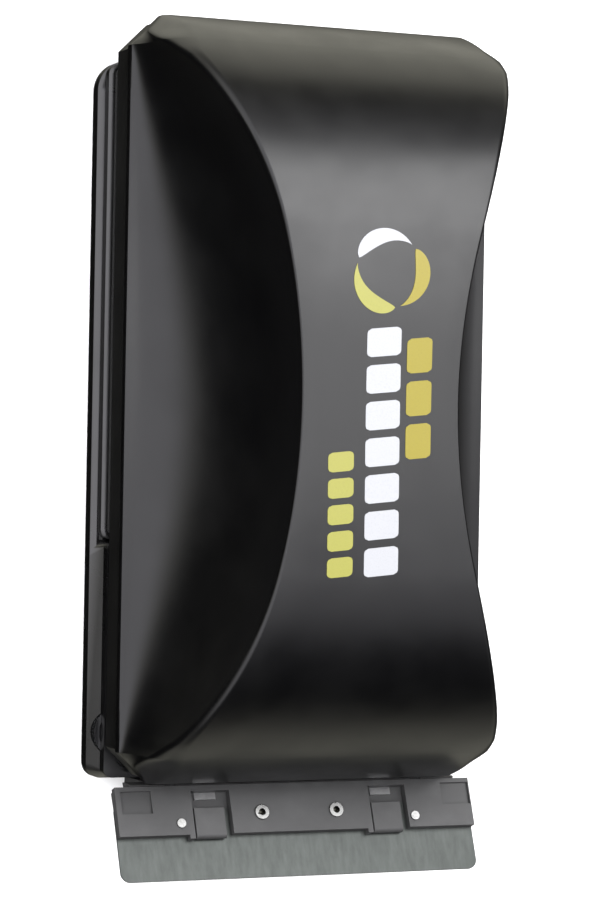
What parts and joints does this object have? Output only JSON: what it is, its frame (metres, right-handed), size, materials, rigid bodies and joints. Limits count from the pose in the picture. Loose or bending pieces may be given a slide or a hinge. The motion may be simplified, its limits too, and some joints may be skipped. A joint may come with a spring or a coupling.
{
  "type": "magnetic glass cleaner",
  "caption": "Two-part aquarium glass cleaner: scooped dry handle with magnets over a floating wet unit with a scrub pad and a tilted clip-on scraper blade.",
  "frame": {"origin": "middle of the box that holds the whole cleaner, on the face it rests on (the outer face of the wet unit)", "axes": "+X across the width, +Y along the length away from the blade, +Z out through the glass towards the hand"},
  "size_m": [0.088, 0.187, 0.0629],
  "materials": {
    "shell_plastic": "satin moulded ABS, fine texture, worn smooth on the deck",
    "base_plastic": "matte moulded ABS",
    "felt": "dense short felt",
    "inner_plastic": "matte moulded plastic",
    "magnet": "nickel plate",
    "yoke_steel": "zinc plated sheet",
    "screw_steel": "stainless, machined",
    "float_plastic": "semi-gloss moulded ABS",
    "seal_rubber": "soft moulded rubber",
    "foam": "closed-cell foam",
    "scrub_fibre": "coarse hook fibre",
    "glide_plastic": "smooth low-friction plastic",
    "cassette_plastic": "matte dark grey moulded plastic",
    "button_plastic": "semi-gloss moulded plastic",
    "blade_steel": "fine brushed stainless, slightly grey-green",
    "rivet_steel": "polished stainless",
    "print_white": "printed ink",
    "print_yellow": "printed ink"
  },
  "bodies": {
    "wet_unit": {"float_body": "float_plastic", "float_cover": "float_plastic", "front_lid": "float_plastic", "cover_seal": "seal_rubber", "float_core": "foam", "wet_yoke": "yoke_steel", "wet_magnets": "magnet", "scrub_pad": "scrub_fibre", "glide_strips": "glide_plastic", "cover_screws": "screw_steel", "blade_mount": "cassette_plastic", "mount_screws": "screw_steel", "cassette_hooks": "screw_steel", "button_spring_left": "screw_steel", "button_spring_right": "screw_steel"},
    "handle": {"handle_shell": "shell_plastic", "handle_base": "base_plastic", "felt_pad": "felt", "handle_magnet_tray": "inner_plastic", "handle_magnets": "magnet", "handle_yoke": "yoke_steel", "handle_screws": "screw_steel"},
    "blade_cassette": {"cassette_frame": "cassette_plastic", "clamp_plate": "cassette_plastic", "scraper_blade": "blade_steel", "tube_rivets": "rivet_steel", "locating_pins": "rivet_steel"},
    "button_left": {"release_button_left": "button_plastic"},
    "button_right": {"release_button_right": "button_plastic"},
    "tab_left": {"snap_tab_left": "cassette_plastic"},
    "tab_right": {"snap_tab_right": "cassette_plastic"}
  },
  "joints": [
    {"name": "glass_gap", "type": "slide", "parent": "wet_unit", "child": "handle", "axis": [0, 0, 1], "range_m": [0, 0.024]},
    {"name": "cassette_slide", "type": "slide", "parent": "wet_unit", "child": "blade_cassette", "axis": [0, -0.9272, 0.3746], "range_m": [0, 0.014]},
    {"name": "button_left_press", "type": "slide", "parent": "wet_unit", "child": "button_left", "axis": [1, 0, 0], "range_m": [0, 0.0015], "stiffness_N_per_m": 400, "deforming": ["button_spring_left"]},
    {"name": "button_right_press", "type": "slide", "parent": "wet_unit", "child": "button_right", "axis": [-1, 0, 0], "range_m": [0, 0.0015], "stiffness_N_per_m": 400, "deforming": ["button_spring_right"]},
    {"name": "tab_left_flex", "type": "hinge", "parent": "blade_cassette", "child": "tab_left", "pos_m": [-0.02115, -0.08449, 0.02359], "axis": [1, 0, 0], "range_deg": [0, 8], "stiffness_Nm_per_rad": 0.05},
    {"name": "tab_right_flex", "type": "hinge", "parent": "blade_cassette", "child": "tab_right", "pos_m": [0.02125, -0.08449, 0.02359], "axis": [1, 0, 0], "range_deg": [0, 8], "stiffness_Nm_per_rad": 0.05}
  ]
}
